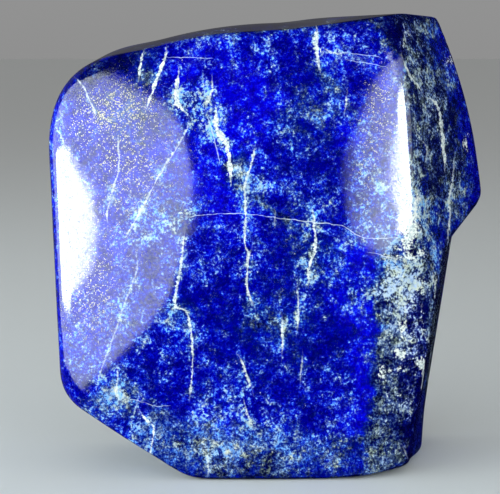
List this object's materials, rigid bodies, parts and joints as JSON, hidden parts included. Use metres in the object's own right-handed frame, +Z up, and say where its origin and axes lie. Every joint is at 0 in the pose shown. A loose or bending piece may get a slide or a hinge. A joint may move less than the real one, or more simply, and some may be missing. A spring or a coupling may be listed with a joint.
{
  "type": "polished lapis lazuli freeform stone",
  "caption": "Free-standing slab of deep blue lapis lazuli, ground to soft faces and polished, with a broad front and a small flat base to stand on.",
  "frame": {"origin": "centre of the bounding box's footprint, at the height of the flat base", "axes": "+X to the right of the broad front, +Y from the front to the back, +Z up"},
  "size_m": [0.1574, 0.068, 0.1591],
  "materials": {
    "lapis": "polished, ultramarine blue with white calcite veins, pale clouds and pyrite grains"
  },
  "bodies": {
    "root": {"lapis_stone": "lapis"}
  },
  "joints": []
}
